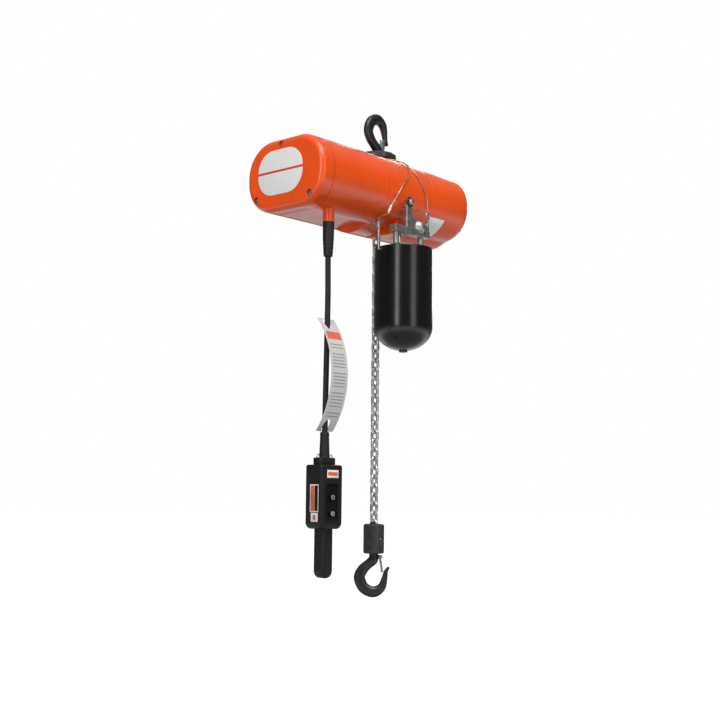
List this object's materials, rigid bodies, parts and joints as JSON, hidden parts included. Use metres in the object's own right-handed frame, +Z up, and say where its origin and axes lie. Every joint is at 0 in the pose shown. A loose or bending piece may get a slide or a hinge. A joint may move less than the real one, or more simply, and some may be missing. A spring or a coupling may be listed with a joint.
{
  "type": "electric chain hoist",
  "caption": "Hook-suspended electric chain hoist with rounded motor body, geared pocket wheel, load chain and swivel hook, chain container and hanging push-button pendant",
  "frame": {"origin": "saddle of the upper hook, where the suspension bears, on the line of the load chain", "axes": "+Z up along the load chain, +X from the badge end of the body towards the motor end, -Y the side with the chain container"},
  "size_m": [0.4926, 0.29, 1.0446],
  "materials": {
    "orange_paint": "smooth orange enamel",
    "black_forging": "black oxide forging",
    "block_black": "satin black",
    "zinc": "dull zinc plate",
    "bright_steel": "turned steel",
    "chain_steel": "case-hardened plated chain",
    "gear_steel": "oiled gear steel",
    "container_black": "glossy black",
    "badge_white": "white with a plain red stripe",
    "plate_metal": "bare plate",
    "gasket_rubber": "flat seal",
    "black_plastic": "matt black",
    "grey_plastic": "matt grey",
    "black_rubber": "matt rubber",
    "copper_winding": "varnished copper",
    "cast_alloy": "as cast",
    "friction_lining": "brake lining",
    "bronze": "bronze",
    "wire_brass": "coated wire",
    "tag_film": "plain laminated tag"
  },
  "bodies": {
    "upper_hook": {"upper_hook": "black_forging", "upper_hook_nut": "bright_steel", "upper_latch_hinge": "bright_steel"},
    "upper_latch": {"upper_latch": "zinc"},
    "hoist": {"suspension_block": "block_black", "upper_thrust_bearing": "bright_steel", "end_cover": "orange_paint", "housing_screws": "bright_steel", "badge_plate": "badge_white", "control_housing": "orange_paint", "gear_frame": "orange_paint", "motor_cover": "orange_paint", "housing_gaskets": "gasket_rubber", "rating_plate": "plate_metal", "power_gland": "black_plastic", "chain_guide": "cast_alloy", "frame_bearings": "bright_steel", "stator_core": "gear_steel", "stator_windings": "copper_winding", "brake_housing": "cast_alloy", "control_panel": "plate_metal", "contactor": "black_plastic", "transformer": "grey_plastic", "limit_switches": "grey_plastic", "load_chain": "chain_steel", "slack_chain": "chain_steel", "container_bracket": "zinc", "container_hangers": "zinc", "chain_container": "container_black", "safety_wire": "wire_brass", "wire_sleeve": "bright_steel", "strain_relief": "black_rubber"},
    "motor": {"motor_rotor": "bright_steel", "brake_disc": "friction_lining"},
    "first_reduction": {"first_reduction": "gear_steel"},
    "second_reduction": {"second_reduction": "gear_steel"},
    "lift_wheel": {"lift_wheel": "gear_steel", "lift_shaft": "bright_steel", "final_gear": "gear_steel", "wheel_chain": "chain_steel"},
    "limit_shaft": {"limit_shaft": "bright_steel"},
    "limit_nuts": {"limit_nuts": "bronze"},
    "hook_block": {"block_front": "block_black", "block_back": "block_black", "block_pin": "bright_steel", "lower_thrust_bearing": "bright_steel"},
    "lower_hook": {"lower_hook": "black_forging", "lower_hook_nut": "bright_steel", "lower_latch_hinge": "bright_steel"},
    "lower_latch": {"lower_latch": "zinc"},
    "pendant": {"pendant_cable": "black_rubber", "cable_boot": "black_rubber", "cable_tag": "tag_film", "cable_clamp": "black_plastic", "pendant_front": "black_plastic", "pendant_back": "black_plastic", "pendant_screws": "bright_steel", "switch_block": "grey_plastic"},
    "up_button": {"up_button": "black_plastic"},
    "down_button": {"down_button": "black_plastic"}
  },
  "joints": [
    {"name": "hoist_swivel", "type": "hinge", "parent": "upper_hook", "child": "hoist", "pos_m": [0, 0, 0], "axis": [0, 0, 1], "continuous": true},
    {"name": "upper_latch_hinge", "type": "hinge", "parent": "upper_hook", "child": "upper_latch", "pos_m": [0.015, 0, -0.061], "axis": [0, -1, 0], "range_deg": [0, 24], "stiffness_Nm_per_rad": 0.02, "springref_deg": -8.59},
    {"name": "motor_spin", "type": "hinge", "parent": "hoist", "child": "motor", "pos_m": [0.11, 0.01, -0.172], "axis": [-1, 0, 0], "range_deg": [0, 70000]},
    {"name": "first_reduction_spin", "type": "hinge", "parent": "hoist", "child": "first_reduction", "pos_m": [0.045, 0.03298, -0.19128], "axis": [1, 0, 0], "range_deg": [0, 17505]},
    {"name": "second_reduction_spin", "type": "hinge", "parent": "hoist", "child": "second_reduction", "pos_m": [0.04, -0.00235, -0.20719], "axis": [1, 0, 0], "range_deg": [-4205, 0]},
    {"name": "lift_wheel_spin", "type": "hinge", "parent": "hoist", "child": "lift_wheel", "pos_m": [0, -0.02844, -0.166], "axis": [1, 0, 0], "range_deg": [0, 1055]},
    {"name": "limit_shaft_spin", "type": "hinge", "parent": "hoist", "child": "limit_shaft", "pos_m": [-0.06, -0.01594, -0.14435], "axis": [1, 0, 0], "range_deg": [-705, 0]},
    {"name": "limit_nut_travel", "type": "slide", "parent": "hoist", "child": "limit_nuts", "axis": [1, 0, 0], "range_m": [-0.00312, 0]},
    {"name": "hook_travel", "type": "slide", "parent": "hoist", "child": "hook_block", "axis": [0, 0, 1], "range_m": [0, 0.55758], "deforming": ["load_chain"]},
    {"name": "lower_hook_swivel", "type": "hinge", "parent": "hook_block", "child": "lower_hook", "pos_m": [0, 0, -0.9974], "axis": [0, 0, 1], "continuous": true},
    {"name": "lower_latch_hinge", "type": "hinge", "parent": "lower_hook", "child": "lower_latch", "pos_m": [0.01004, -0.01115, -0.9364], "axis": [0.7431, 0.6691, 0], "range_deg": [0, 24], "stiffness_Nm_per_rad": 0.02, "springref_deg": -8.59},
    {"name": "pendant_swing", "type": "hinge", "parent": "hoist", "child": "pendant", "pos_m": [-0.2, -0.046, -0.325], "axis": [1, 0, 0], "range_deg": [-20, 20]},
    {"name": "up_press", "type": "slide", "parent": "pendant", "child": "up_button", "axis": [0.0698, 0.9976, 0], "range_m": [0, 0.004], "stiffness_N_per_m": 400, "springref_m": -0.002},
    {"name": "down_press", "type": "slide", "parent": "pendant", "child": "down_button", "axis": [0.0698, 0.9976, 0], "range_m": [0, 0.004], "stiffness_N_per_m": 400, "springref_m": -0.002}
  ],
  "couplings": [
    {"joint": "first_reduction_spin", "follows": "motor_spin", "ratio": 0.25},
    {"joint": "second_reduction_spin", "follows": "motor_spin", "ratio": -0.06},
    {"joint": "lift_wheel_spin", "follows": "motor_spin", "ratio": 0.015},
    {"joint": "limit_shaft_spin", "follows": "motor_spin", "ratio": -0.01},
    {"joint": "limit_nut_travel", "follows": "motor_spin", "m_per_rad": -0.0000023873},
    {"joint": "hook_travel", "follows": "motor_spin", "m_per_rad": 0.00045598}
  ]
}
